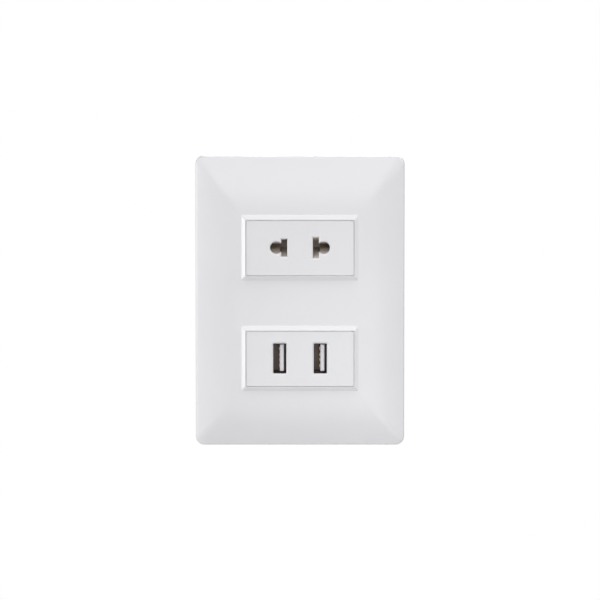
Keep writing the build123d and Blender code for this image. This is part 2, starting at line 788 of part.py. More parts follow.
# The charger's terminals: a terminal plate with an arm through the partition and a leg to the board.
leg_x = cavity_half_x - board_clearance - terminal_leg_inset - terminal_leg_width / 2
arm_length = terminal_front - leg_x + terminal_leg_width / 2
leg_height = usb_z + terminal_arm_width / 2 - main_board_top
for side_name, side in sides.items():
    usb_terminal_plate = terminal_plate(side, usb_z, terminal_arm_depth)
    with BuildPart() as usb_terminal:
        add(usb_terminal_plate)
        with BuildSketch(front_plane(-terminal_arm_depth, usb_z)):
            with Locations((side * (terminal_front - arm_length / 2), 0)):
                Rectangle(arm_length, terminal_arm_width)
            with Locations((side * leg_x, (terminal_arm_width - leg_height) / 2)):
                Rectangle(terminal_leg_width, leg_height)
        extrude(amount=-strip)
    usb_terminal.part.label = f"usb_{side_name}_terminal"
    export_step(usb_terminal.part, f"parts/usb_{side_name}_terminal.step")

# Each wire clamp is a loose plate under the head of a screw that is threaded into the terminal plate.
for module_name, place in (("socket", socket_z), ("usb", usb_z)):
    for side_name, side in sides.items():
        with BuildPart() as clamp:
            with BuildSketch(end_plane(side, clamp_inside, terminal_depth, place)):
                Rectangle(clamp_length, clamp_width)
                Circle(screw_radius + clamp_hole_clearance, mode=Mode.SUBTRACT)
            extrude(amount=clamp_thickness)
        clamp.part.label = f"{module_name}_{side_name}_clamp"
        export_step(clamp.part, f"parts/{module_name}_{side_name}_clamp.step")

        with BuildPart() as screw:
            with BuildSketch(end_plane(side, head_under, terminal_depth, place)):
                Circle(screw_head)
            extrude(amount=screw_head_height)
            fillet(screw.faces().sort_by(Axis.X)[0 if side < 0 else -1].edges(), head_round)
            with BuildSketch(end_plane(side, head_under + screw_head_height, terminal_depth, place)):
                Rectangle(recess_length, recess_width)
                Rectangle(recess_width, recess_length)
            extrude(amount=-recess_depth, mode=Mode.SUBTRACT)
            with BuildSketch(end_plane(side, head_under, terminal_depth, place)):
                Circle(screw_radius)
            extrude(amount=screw_end - head_under)
            chamfer(screw.faces().sort_by(Axis.X)[-1 if side < 0 else 0].edges(), screw_tip_chamfer)
        screw.part.label = f"{module_name}_{side_name}_screw"
        export_step(screw.part, f"parts/{module_name}_{side_name}_screw.step")
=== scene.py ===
import bmesh
import bpy
import json
import math
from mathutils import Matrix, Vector


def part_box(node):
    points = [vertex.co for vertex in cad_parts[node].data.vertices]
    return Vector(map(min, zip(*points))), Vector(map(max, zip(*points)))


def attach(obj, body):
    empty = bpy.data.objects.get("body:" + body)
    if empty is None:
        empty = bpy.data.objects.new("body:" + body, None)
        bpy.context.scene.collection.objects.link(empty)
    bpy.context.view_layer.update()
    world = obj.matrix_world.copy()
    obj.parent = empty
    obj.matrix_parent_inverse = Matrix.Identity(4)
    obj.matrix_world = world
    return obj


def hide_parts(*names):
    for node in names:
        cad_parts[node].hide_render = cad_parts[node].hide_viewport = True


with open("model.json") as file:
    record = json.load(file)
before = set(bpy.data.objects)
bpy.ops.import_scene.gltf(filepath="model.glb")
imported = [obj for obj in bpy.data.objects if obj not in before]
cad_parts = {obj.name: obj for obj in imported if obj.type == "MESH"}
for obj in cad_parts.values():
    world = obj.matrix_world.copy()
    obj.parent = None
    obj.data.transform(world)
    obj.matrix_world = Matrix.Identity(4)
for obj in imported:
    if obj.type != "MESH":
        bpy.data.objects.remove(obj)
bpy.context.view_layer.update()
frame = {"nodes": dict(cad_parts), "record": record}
mm = 0.001
print("frame loaded with", len(frame["nodes"]), "nodes")

# camera: square to the plate and a little above it, far off with a long lens
view = {
    "elevation": 8.6,       # degrees
    "distance": 3.0,        # metres
    "platePixels": 208.6,   # width of the plate in the picture
    "imagePixels": 600,
    "aimHeight": 1.5,       # mm out of the wall, middle of the rim
    "aimRise": 0.2,         # mm above the plate's middle
    "clipEnd": 20,          # metres
}
plateLow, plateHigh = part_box("cover_plate")
plateWidth = plateHigh.x - plateLow.x
aim = Vector((0, -view["aimHeight"] * mm, view["aimRise"] * mm))
tilt = math.radians(view["elevation"])
backwards = Vector((0, -math.cos(tilt), math.sin(tilt)))
bpy.ops.object.camera_add(location=aim + backwards * view["distance"])
camera = bpy.context.object
camera.rotation_euler = (-backwards).to_track_quat("-Z", "Y").to_euler()
pictureWidth = plateWidth * view["imagePixels"] / view["platePixels"]
camera.data.lens = camera.data.sensor_width * view["distance"] / pictureWidth
camera.data.clip_end = view["clipEnd"]
bpy.context.scene.camera = camera
bpy.context.scene.view_settings.view_transform = "Standard"
print("camera set, lens", round(camera.data.lens), "mm")


# studio: a white surround, soft boxes round the plate and a pale floor below it
studio = {
    "surround": 0.25,
    "backdrop": 1.0,        # the surround as the camera sees it
    "white": "#ffffff",
    "floorRadius": 0.4,     # metres
    "floorDrop": 0.45,
    "floorForward": 0.1,
    "floorSides": 96,
    "boxes": {              # place and size in metres, power in watts
        "topBox": ((-0.10, -0.33, 0.80), 0.5, 2.3),
        "keyBox": ((-0.10, -0.80, 0.40), 0.5, 1.42),
        "frontBox": ((0.05, -1.20, 0.20), 0.4, 0.8),
        "leftBox": ((-0.80, -0.06, 0.00), 0.4, 2.95),
        "rightBox": ((0.60, -0.15, 0.40), 0.4, 1.6),
        "lowBox": ((0.08, -0.27, -0.11), 0.2, 0.25),
        "backBox": ((0.20, 0.90, 0.50), 0.6, 4.4),
    },
}


def linear(hexColour):
    # sRGB hex to a linear colour
    channels = [int(hexColour[i:i + 2], 16) / 255 for i in (1, 3, 5)]
    return (*[c / 12.92 if c <= 0.04045 else ((c + 0.055) / 1.055) ** 2.4 for c in channels], 1)


def socketOf(sockets, key):
    return next(s for s in sockets if key in (s.identifier, s.name))


def addNode(tree, kind, inputs, **settings):
    # a node with its settings, and each input a value or a link
    node = tree.nodes.new(kind)
    for name, value in settings.items():
        setattr(node, name, value)
    for name, value in inputs.items():
        socket = socketOf(node.inputs, name)
        if isinstance(value, bpy.types.NodeSocket):
            tree.links.new(value, socket)
        else:
            socket.default_value = value
    return node


def lightStudio():
    world = bpy.data.worlds.new("studioSurround")
    bpy.context.scene.world = world
    world.use_nodes = True
    tree = world.node_tree
    tree.nodes.clear()
    path = addNode(tree, "ShaderNodeLightPath", {})
    white = linear(studio["white"])
    fill = addNode(tree, "ShaderNodeBackground", {"Color": white, "Strength": studio["surround"]})
    seen = addNode(tree, "ShaderNodeBackground", {"Color": white, "Strength": studio["backdrop"]})
    mixed = addNode(tree, "ShaderNodeMixShader", {"Fac": path.outputs["Is Camera Ray"]})
    tree.links.new(fill.outputs[0], mixed.inputs[1])
    tree.links.new(seen.outputs[0], mixed.inputs[2])
    addNode(tree, "ShaderNodeOutputWorld", {"Surface": mixed.outputs[0]})
    for name, (place, size, power) in studio["boxes"].items():
        bpy.ops.object.light_add(type="AREA", location=place)
        box = bpy.context.object
        box.name = name
        box.rotation_euler = (-Vector(place)).to_track_quat("-Z", "Y").to_euler()
        box.data.size = size
        box.data.energy = power
        box.visible_camera = False
    bpy.ops.mesh.primitive_circle_add(
        vertices=studio["floorSides"], radius=studio["floorRadius"], fill_type="NGON",
        location=(0, -studio["floorForward"], -studio["floorDrop"]))
    floor = bpy.context.object
    floor.name = "floor"
    return floor


# materials: two close tones in patches, a roughness that wanders with them, and a fine grain
# patch and grain are in mm; a real grain under 0.1 mm is too fine to show, so it is drawn as 0.18 to 0.35 mm
patchDetail = 3
grainDetail = 2
even = (1, 1, 1)        # a pattern that isn't drawn out in any direction


def makeSurface(name, look):
    material = bpy.data.materials.new(name)
    material.use_nodes = True
    tree = material.node_tree
    tree.nodes.clear()
    place = addNode(tree, "ShaderNodeTexCoord", {})
    drawn = addNode(tree, "ShaderNodeMapping", {
        "Vector": place.outputs["Object"], "Scale": look.get("stretch", even)})
    patches = addNode(tree, "ShaderNodeTexNoise", {
        "Vector": drawn.outputs[0], "Scale": 1 / (look["patch"] * mm), "Detail": patchDetail})
    tones = addNode(tree, "ShaderNodeMix", {
        "Factor_Float": patches.outputs[0],
        "A_Color": linear(look["tones"][0]),
        "B_Color": linear(look["tones"][1]),
    }, data_type="RGBA")
    smooth, dull = look["roughness"]
    rough = addNode(tree, "ShaderNodeMapRange", {
        "Value": patches.outputs[0], "To Min": smooth, "To Max": dull})
    grain = addNode(tree, "ShaderNodeTexNoise", {
        "Vector": drawn.outputs[0], "Scale": 1 / (look["grain"] * mm), "Detail": grainDetail})
    bump = addNode(tree, "ShaderNodeBump", {
        "Strength": look["relief"], "Distance": look["grain"] * mm, "Height": grain.outputs[0]})
    shader = addNode(tree, "ShaderNodeBsdfPrincipled", {
        "Base Color": socketOf(tones.outputs, "Result_Color"),
        "Roughness": rough.outputs[0],
        "Metallic": look.get("metallic", 0.0),
        "Normal": bump.outputs[0],
    })
    if "ior" in look:
        shader.inputs["IOR"].default_value = look["ior"]
    addNode(tree, "ShaderNodeOutputMaterial", {"Surface": shader.outputs[0]})
    return material


looks = {
    # ABS moulded in a polished tool: white, softly glossy, with a trace of orange peel
    "white_gloss_plastic": ("mouldedWhiteAbs", {
        "tones": ("#e6e6e9", "#eaeaed"), "patch": 22, "roughness": (0.30, 0.38),
        "grain": 0.9, "relief": 0.02, "ior": 1.54}),
    # glass-filled polyamide: grey, matt, mottled where the melt flowed
    "frame_plastic": ("glassFilledPolyamide", {
        "tones": ("#b4b6ba", "#c2c4c7"), "patch": 7, "roughness": (0.48, 0.62),
        "grain": 0.35, "relief": 0.16, "ior": 1.53}),
    # polycarbonate from a spark-eroded tool: pale, fine even grain, no gloss
    "housing_plastic": ("grainedPolycarbonate", {
        "tones": ("#dcdcd8", "#e4e4e0"), "patch": 9, "roughness": (0.42, 0.55),
        "grain": 0.3, "relief": 0.14, "ior": 1.58}),
    # rolled bronze strip, dulled by air so hardly a metal's shine, with rolling lines; its pale warm tone is
    # painted light, lighter than bronze so the contacts show in the holes' shade
    "contact_brass": ("paleBronzePaintedLight", {
        "tones": ("#e6d8cb", "#f0e4d9"), "patch": 3, "roughness": (0.42, 0.58),
        "grain": 0.25, "relief": 0.10, "metallic": 0.15, "stretch": (1, 0.12, 1)}),
    # gold flash over brass: bright, smooth, slightly worn
    "gold_plated_brass": ("goldFlash", {
        "tones": ("#a88c60", "#bfa274"), "patch": 1.5, "roughness": (0.18, 0.30),
        "grain": 0.2, "relief": 0.06, "metallic": 1.0}),
    # zinc-plated steel: cool grey metal, clouded by its passivation
    "plated_steel": ("zincPlatedSteel", {
        "tones": ("#b3b6b8", "#cfd0cd"), "patch": 1.6, "roughness": (0.26, 0.40),
        "grain": 0.18, "relief": 0.08, "metallic": 1.0}),
    # nickel-plated sheet: half dulled, with faint drawing lines along its length; its brown grey is painted
    # shade, the dark of the port's inside
    "port_shell_steel": ("nickelSheetPaintedShade", {
        "tones": ("#73645f", "#83736d"), "patch": 2, "roughness": (0.45, 0.58),
        "grain": 0.22, "relief": 0.08, "metallic": 0.5, "stretch": (1, 0.15, 1)}),
    # moulded nylon: pale lilac grey, dull
    "tongue_plastic": ("mouldedNylon", {
        "tones": ("#e6e5ea", "#efeef2"), "patch": 2, "roughness": (0.40, 0.50),
        "grain": 0.3, "relief": 0.06, "ior": 1.53}),
    # glass-fibre board under solder mask: deep green, glossy over a faint weave
    "circuit_board": ("solderMaskBoard", {
        "tones": ("#1d4a2b", "#2b6138"), "patch": 1.8, "roughness": (0.24, 0.34),
        "grain": 0.5, "relief": 0.10, "ior": 1.55}),
    # sintered ferrite, ground flat: near black, slightly shiny specks
    "ferrite": ("groundFerrite", {
        "tones": ("#2b2b2e", "#3a3a3d"), "patch": 0.8, "roughness": (0.38, 0.55),
        "grain": 0.2, "relief": 0.20, "metallic": 0.35}),
    # enamelled copper wire: orange brown, lacquer gloss
    "copper_winding": ("enamelledCopper", {
        "tones": ("#8f4a24", "#b8672f"), "patch": 1.5, "roughness": (0.22, 0.32),
        "grain": 0.25, "relief": 0.12, "metallic": 0.8}),
    # shrunk sleeve on an aluminium can: blue black, smooth
    "capacitor_can": ("shrinkSleeve", {
        "tones": ("#1c2230", "#262d3d"), "patch": 4, "roughness": (0.28, 0.36),
        "grain": 0.6, "relief": 0.03, "ior": 1.54}),
    # dipped lacquer: blue green, rounded gloss
    "resistor_body": ("dippedLacquer", {
        "tones": ("#5f8f92", "#6fa0a1"), "patch": 1.2, "roughness": (0.24, 0.34),
        "grain": 0.35, "relief": 0.08, "ior": 1.52}),
    # moulded epoxy: black, matt, finely grained
    "black_plastic": ("mouldedEpoxy", {
        "tones": ("#1e1e20", "#28282a"), "patch": 1.5, "roughness": (0.50, 0.62),
        "grain": 0.2, "relief": 0.12, "ior": 1.55}),
}
finishes = {slot: makeSurface(name, look) for slot, (name, look) in looks.items()}
for part in frame["record"]["subparts"]:
    slots = frame["nodes"][part["node"]].data.materials
    slots.clear()
    slots.append(finishes[part["material_slot"]])
print("materials made:", len(finishes))


# helpers for edit mode
touching = 0.01         # mm, places that lie closer than this are one
mergeDistance = 0.001   # mm
cutThreshold = 0.0001   # mm
squareOn = 0.9          # how much of a normal lies along an axis when its face looks that way
smoothAngle = math.radians(24)


def middle(face):
    return sum((vertex.co for vertex in face.verts), Vector()) / len(face.verts)


def pick(kind, test):
    # selects only the vertices, edges or faces that pass the test
    bpy.ops.mesh.select_mode(type=kind)
    bpy.ops.mesh.select_all(action="DESELECT")
    shape = bmesh.from_edit_mesh(bpy.context.object.data)
    for part in {"VERT": shape.verts, "EDGE": shape.edges, "FACE": shape.faces}[kind]:
        if test(part):
            part.select_set(True)
    shape.select_flush_mode()
    bmesh.update_edit_mesh(bpy.context.object.data)


def extrude(move=(0, 0, 0)):
    bpy.ops.mesh.extrude_region_move(TRANSFORM_OT_translate={"value": move})


def cutAcross(axis, place):
    # one straight cut through the whole mesh
    point = Vector((0, 0, 0))
    point[axis] = place
    normal = Vector((0, 0, 0))
    normal[axis] = 1
    bpy.ops.mesh.select_all(action="SELECT")
    bpy.ops.mesh.bisect(plane_co=point, plane_no=normal, threshold=cutThreshold)


def applyModifier(kind, **settings):
    bpy.ops.object.modifier_add(type=kind)
    modifier = bpy.context.object.modifiers[-1]
    for name, value in settings.items():
        setattr(modifier, name, value)
    bpy.ops.object.modifier_apply(modifier=modifier.name)


def settle(piece, name, body, slot, *nodes, turn=(math.pi / 2, 0, 0), place=(0, 0, 0), unit=mm):
    # a piece is turned, scaled to metres, put in its place and finished, and stands for its CAD nodes
    bpy.ops.object.select_all(action="DESELECT")
    piece.select_set(True)
    bpy.context.view_layer.objects.active = piece
    piece.name = name
    piece.rotation_euler = turn
    piece.location = Vector(place) * mm
    piece.scale = (unit, unit, unit)
    bpy.ops.object.transform_apply(location=True, rotation=True, scale=True)
    bpy.ops.object.shade_smooth_by_angle(angle=smoothAngle)
    applyModifier("WEIGHTED_NORMAL", mode="FACE_AREA", keep_sharp=True)     # broad faces shade evenly
    piece.data.materials.clear()
    piece.data.materials.append(finishes[slot])
    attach(piece, body)
    if nodes:
        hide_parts(*nodes)


def joined(main, *others):
    # several closed solids made one piece
    bpy.ops.object.select_all(action="DESELECT")
    for part in (*others, main):
        part.select_set(True)
    bpy.context.view_layer.objects.active = main
    bpy.ops.object.join()
    return main


# cover plate: modelled in millimetres on its back, X to the right, Y up the wall and Z out of it
plate = {
    "flatHeight": 8.2,
    "rimHeight": 3.0,
    "wall": 2.0,
    "slopeSides": 18.2,     # widths of the curved slopes
    "slopeEnds": 22.2,
    "slopeRings": 18,
    "cornerAtFlat": 0.8,    # corner radius, growing from the flat to the rim
    "cornerAtRim": 3.4,
    "cornerSteps": 8,
    "rimRound": 0.7,
    "roundSteps": 3,        # faces across the rim's and the lips' rounding
    "windowPitch": 45.0,
    "window": (43.6, 22.7),
    "lipFoot": (47.1, 26.6),
    "lipHeight": 1.6,
    "lipLand": 0.2,
    "lipCorner": 0.5,
    "lipCornerSteps": 4,
    "lipRound": 0.09,
    "skirtWall": 1.2,
    "skirtBottom": 4.3,
    "hookPitch": 60.0,
    "hookWidth": 8.0,
    "hookFace": 32.95,
    "hookThickness": 1.4,
    "hookBottom": 0.3,
    "hookTop": 5.8,
    "barbTop": 1.1,
    "barbReach": 1.0,
    "hookRound": 0.12,
    "hookRoundSteps": 2,
}
bendAngle = 0.3         # radians from which an edge of the plate counts as sharp
windowReach = 1.0       # mm that a window's face may lie off the window's middle


def slopeRing(halfFlat, corner, height, reach):
    # where a ring's corner arcs have their centres, their radius, and how high the ring lies
    return {"core": [halfFlat[i] + reach[i] - corner for i in (0, 1)], "corner": corner, "height": height}


def moveRing(before, after):
    # the ring just extruded goes from one ring's outline to the next one's
    shape = bmesh.from_edit_mesh(bpy.context.object.data)
    for vertex in shape.verts:
        if vertex.select:
            for i in (0, 1):
                inner = max(-before["core"][i], min(before["core"][i], vertex.co[i]))
                direction = (vertex.co[i] - inner) / before["corner"]
                vertex.co[i] = inner * after["core"][i] / before["core"][i] + direction * after["corner"]
            vertex.co.z = after["height"]
    bmesh.update_edit_mesh(bpy.context.object.data)


def plateSlopes(halfPlate):
    widths = (plate["slopeSides"], plate["slopeEnds"])
    drop = plate["flatHeight"] - plate["rimHeight"]
    radii = [(width ** 2 + drop ** 2) / (2 * drop) for width in widths]
    halfFlat = [half - width for half, width in zip(halfPlate, widths)]
    ring = slopeRing(halfFlat, plate["cornerAtFlat"], plate["flatHeight"], (0, 0))
    for step in range(1, plate["slopeRings"] + 1):
        share = step / plate["slopeRings"]
        sideReach = widths[0] * share
        fall = radii[0] - math.sqrt(radii[0] ** 2 - sideReach ** 2)
        endReach = math.sqrt(radii[1] ** 2 - (radii[1] - fall) ** 2)
        corner = plate["cornerAtFlat"] + (plate["cornerAtRim"] - plate["cornerAtFlat"]) * share
        following = slopeRing(halfFlat, corner, plate["flatHeight"] - fall, (sideReach, endReach))
        pick("EDGE", lambda edge: edge.is_boundary)
        extrude()
        moveRing(ring, following)
        ring = following
    pick("EDGE", lambda edge: edge.is_boundary)
    extrude((0, 0, -plate["rimHeight"]))


def windowLip(place):
    # the lip in front, the skirt behind and the window through both
    top = plate["flatHeight"]
    lipTop = top + plate["lipHeight"]
    under = top - plate["wall"]

    def flatFace(height, facing):
        return lambda face: (
            face.normal.z * facing > squareOn and abs(middle(face).z - height) < touching
            and abs(middle(face).x) < windowReach and abs(middle(face).y - place) < windowReach)

    ridge = [size + 2 * plate["lipLand"] for size in plate["window"]]
    skirt = [size + 2 * plate["skirtWall"] for size in plate["window"]]
    pick("FACE", flatFace(top, 1))
    extrude((0, 0, plate["lipHeight"]))
    shrink = [size / foot for size, foot in zip(ridge, plate["lipFoot"])]
    bpy.ops.transform.resize(value=(*shrink, 1), center_override=(0, place, lipTop))
    bpy.ops.mesh.inset(thickness=plate["lipLand"])
    pick("FACE", flatFace(under, -1))
    extrude()
    shrink = [size / foot for size, foot in zip(skirt, plate["lipFoot"])]
    bpy.ops.transform.resize(value=(*shrink, 1), center_override=(0, place, under))
    extrude((0, 0, plate["skirtBottom"] - under))
    bpy.ops.mesh.inset(thickness=plate["skirtWall"])
    front = flatFace(lipTop, 1)
    rear = flatFace(plate["skirtBottom"], -1)
    pick("FACE", lambda face: front(face) or rear(face))
    bpy.ops.mesh.bridge_edge_loops()


def lipCornerEdge(edge):
    # the edges that run through a lip's corner, from its foot over the land and down the window
    ends = [vertex.co for vertex in edge.verts]
    halfWide, halfHigh = [size / 2 - touching for size in plate["window"]]
    lipTop = plate["flatHeight"] + plate["lipHeight"]
    beside = all(abs(end.x) > halfWide for end in ends)
    above = all(abs(abs(end.y) - plate["windowPitch"] / 2) > halfHigh for end in ends)
    near = (ends[0].xy - ends[1].xy).length < halfHigh / 2
    return beside and above and near and max(end.z for end in ends) > lipTop - touching


def edgeAt(height):
    # sharp edges that lie level at one height
    return lambda edge: (
        all(abs(vertex.co.z - height) < touching for vertex in edge.verts)
        and edge.is_manifold and edge.calc_face_angle() > bendAngle)


def plateHook(side, place):
    thickness = plate["hookThickness"]
    height = plate["hookTop"] - plate["hookBottom"]
    bpy.ops.object.select_all(action="DESELECT")
    bpy.ops.mesh.primitive_cube_add(size=1)
    hook = bpy.context.object
    bpy.ops.object.mode_set(mode="EDIT")
    bpy.ops.transform.resize(value=(thickness, plate["hookWidth"], height), center_override=(0, 0, 0))
    bpy.ops.transform.translate(value=(
        side * (plate["hookFace"] + thickness / 2), place, plate["hookBottom"] + height / 2))
    cutAcross(2, plate["barbTop"])
    pick("FACE", lambda face: face.normal.x * side < -squareOn and middle(face).z < plate["barbTop"])
    extrude((-side * plate["barbReach"], 0, 0))
    tip = plate["hookFace"] - plate["barbReach"]
    pick("EDGE", lambda edge: all(
        abs(abs(vertex.co.x) - tip) < touching and vertex.co.z < plate["barbTop"] - touching
        for vertex in edge.verts))
    bpy.ops.transform.translate(value=(side * plate["barbReach"], 0, 0))
    bpy.ops.mesh.select_all(action="SELECT")
    bpy.ops.mesh.remove_doubles(threshold=mergeDistance)
    bpy.ops.object.mode_set(mode="OBJECT")
    applyModifier("BEVEL", width=plate["hookRound"], segments=plate["hookRoundSteps"], limit_method="ANGLE")
    return hook


def modelPlate():
    halfPlate = (plateHigh.x / mm, plateHigh.z / mm)
    halfFlat = (halfPlate[0] - plate["slopeSides"], halfPlate[1] - plate["slopeEnds"])
    places = (-plate["windowPitch"] / 2, plate["windowPitch"] / 2)
    bpy.ops.object.select_all(action="DESELECT")
    bpy.ops.mesh.primitive_plane_add(size=2)
    piece = bpy.context.object
    bpy.ops.object.mode_set(mode="EDIT")
    bpy.ops.transform.resize(value=(*halfFlat, 1), center_override=(0, 0, 0))
    bpy.ops.transform.translate(value=(0, 0, plate["flatHeight"]))
    bpy.ops.mesh.bevel(offset=plate["cornerAtFlat"], segments=plate["cornerSteps"], affect="VERTICES")
    for side in (-1, 1):
        cutAcross(0, side * plate["lipFoot"][0] / 2)
        for place in places:
            cutAcross(1, place + side * plate["lipFoot"][1] / 2)
    plateSlopes(halfPlate)
    bpy.ops.object.mode_set(mode="OBJECT")
    applyModifier("SOLIDIFY", thickness=plate["wall"], offset=-1, use_even_offset=True)
    bpy.ops.object.mode_set(mode="EDIT")
    for place in places:
        windowLip(place)
    pick("EDGE", lipCornerEdge)
    bpy.ops.mesh.bevel(offset=plate["lipCorner"], segments=plate["lipCornerSteps"], affect="EDGES")
    pick("EDGE", edgeAt(plate["flatHeight"] + plate["lipHeight"]))
    bpy.ops.mesh.bevel(offset=plate["lipRound"], segments=plate["roundSteps"], affect="EDGES")
    pick("EDGE", edgeAt(plate["rimHeight"]))
    bpy.ops.mesh.bevel(offset=plate["rimRound"], segments=plate["roundSteps"], affect="EDGES")
    bpy.ops.object.mode_set(mode="OBJECT")
    hooks = [plateHook(side, end * plate["hookPitch"] / 2) for side in (-1, 1) for end in (-1, 1)]
    return joined(piece, *hooks)


coverPlate = modelPlate()
settle(coverPlate, "coverPlate", "root", "white_gloss_plastic", "cover_plate")
print("cover plate modelled:", len(coverPlate.data.polygons), "faces")


# screws: modelled in millimetres, head up, with the underside of the head at the origin
boxScrew = {
    "head": 3.3, "headHeight": 2.0, "crown": 0.7,
    "recess": 3.4, "recessWidth": 0.8, "recessDepth": 1.0,
    "neck": 1.45, "neckLength": 2.4,
    "thread": 1.75, "threadEnd": 24.4, "pitch": 0.79, "tip": 0.72,
    "pitchApart": 83.5, "seat": 2.4,
}
clampScrew = {
    "head": 2.9, "headHeight": 1.9, "crown": 0.5,
    "recess": 3.4, "recessWidth": 0.8, "recessDepth": 1.0,
    "neck": 1.2, "neckLength": 0.3,
    "thread": 1.5, "threadEnd": 4.75, "pitch": 0.5, "tip": 0.82,
    "seat": 17.95, "depth": 17.5,
}
screwForm = {               # what all the screws share
    "headSides": 40,
    "crownSteps": 5,
    "recessTaper": 0.8,     # the recess's floor against its mouth
    "neckSides": 32,
    "threadSteps": 24,      # straight runs in one turn
    "threadDepth": 0.61,    # shares of the pitch
    "flank": 0.42,
    "crest": 0.16,
    "spareTurns": 2,        # cut off again at the ends
}


def screwHead(screw):
    bpy.ops.object.select_all(action="DESELECT")
    height = screw["headHeight"]
    bpy.ops.mesh.primitive_cylinder_add(vertices=screwForm["headSides"], radius=screw["head"], depth=height)
    head = bpy.context.object
    bpy.ops.object.mode_set(mode="EDIT")
    bpy.ops.transform.translate(value=(0, 0, height / 2))
    pick("EDGE", lambda edge: all(vertex.co.z > height - touching for vertex in edge.verts))
    bpy.ops.mesh.bevel(offset=screw["crown"], segments=screwForm["crownSteps"], affect="EDGES")
    wide = screw["recess"] / 2
    narrow = screw["recessWidth"] / 2
    for axis in (0, 1):
        for line in (-wide, -narrow, narrow, wide):
            cutAcross(axis, line)

    def inCross(face):
        spot = middle(face)
        arms = sorted((abs(spot.x), abs(spot.y)))
        onTop = face.normal.z > squareOn and spot.z > height - touching
        return onTop and arms[0] < narrow and arms[1] < wide

    pick("FACE", inCross)
    extrude((0, 0, -screw["recessDepth"]))
    taper = screwForm["recessTaper"]
    bpy.ops.transform.resize(value=(taper, taper, 1), center_override=(0, 0, 0))
    bpy.ops.object.mode_set(mode="OBJECT")
    return head


def screwNeck(screw):
    bpy.ops.object.select_all(action="DESELECT")
    bpy.ops.mesh.primitive_cylinder_add(vertices=screwForm["neckSides"], radius=screw["neck"], depth=1)
    neck = bpy.context.object
    bury = screw["pitch"] / 2
    length = screw["neckLength"] + 2 * bury
    bpy.ops.object.mode_set(mode="EDIT")
    bpy.ops.transform.resize(value=(1, 1, length), center_override=(0, 0, 0))
    bpy.ops.transform.translate(value=(0, 0, bury - length / 2))
    bpy.ops.object.mode_set(mode="OBJECT")
    return neck


def screwThread(screw):
    # one tooth of the thread is wound down the shank, then cut square at both ends
    pitch = screw["pitch"]
    depth = screwForm["threadDepth"] * pitch
    flank = screwForm["flank"] * pitch
    crest = screwForm["crest"] * pitch
    steps = screwForm["threadSteps"]
    top = -screw["neckLength"]
    bottom = -screw["threadEnd"]
    turns = math.ceil((top - bottom) / pitch) + screwForm["spareTurns"]
    bpy.ops.object.select_all(action="DESELECT")
    bpy.ops.mesh.primitive_plane_add(size=1)
    thread = bpy.context.object
    bpy.ops.object.mode_set(mode="EDIT")
    pick("VERT", lambda vertex: True)
    bpy.ops.mesh.merge(type="CENTER")
    bpy.ops.transform.translate(value=(screw["thread"] - depth, 0, bottom - pitch))
    for outwards, upwards in ((depth, flank), (0, crest), (-depth, flank)):
        extrude((outwards, 0, upwards))
    bpy.ops.object.mode_set(mode="OBJECT")
    applyModifier(
        "SCREW", axis="Z", angle=2 * math.pi, iterations=turns, steps=steps, render_steps=steps,
        screw_offset=pitch, use_merge_vertices=True, merge_threshold=mergeDistance)
    bpy.ops.object.mode_set(mode="EDIT")
    bpy.ops.mesh.select_all(action="SELECT")
    bpy.ops.mesh.remove_doubles(threshold=mergeDistance)    # joins each turn to the next
    for height, facing in ((top, 1), (bottom, -1)):
        bpy.ops.mesh.select_all(action="SELECT")
        bpy.ops.mesh.bisect(
            plane_co=(0, 0, height), plane_no=(0, 0, facing), clear_outer=True, use_fill=True,
            threshold=cutThreshold)
    bpy.ops.mesh.select_all(action="SELECT")
    bpy.ops.mesh.normals_make_consistent(inside=False)
    pick("VERT", lambda vertex: vertex.co.z < bottom + touching)
    bpy.ops.transform.resize(value=(screw["tip"], screw["tip"], 1), center_override=(0, 0, 0))
    bpy.ops.object.mode_set(mode="OBJECT")
    return thread


def modelScrew(screw):
    return joined(screwHead(screw), screwNeck(screw), screwThread(screw))


def copyOf(piece):
    twin = piece.copy()
    twin.data = piece.data.copy()
    bpy.context.collection.objects.link(twin)
    return twin


upperScrew = modelScrew(boxScrew)
lowerScrew = copyOf(upperScrew)
for screw, end in ((upperScrew, 1), (lowerScrew, -1)):
    screw.location = (0, end * boxScrew["pitchApart"] / 2, boxScrew["seat"])
    bpy.ops.object.select_all(action="DESELECT")
    screw.select_set(True)
    bpy.ops.object.transform_apply(location=True, rotation=False, scale=False)
settle(joined(upperScrew, lowerScrew), "boxScrews", "root", "plated_steel", "box_screws")

firstClampScrew = modelScrew(clampScrew)
clampScrews = [firstClampScrew, *[copyOf(firstClampScrew) for _ in range(3)]]
for module, height in (("socket", plate["windowPitch"] / 2), ("usb", -plate["windowPitch"] / 2)):
    for side, outwards in (("left", -1), ("right", 1)):
        node = f"{module}_{side}_screw"
        settle(clampScrews.pop(), f"{module}{side.title()}ClampScrew", node, "plated_steel", node,
               turn=(0, outwards * math.pi / 2, 0),
               place=(outwards * clampScrew["seat"], clampScrew["depth"], height))
print("screws modelled:", len(upperScrew.data.polygons), "faces for the two box screws")


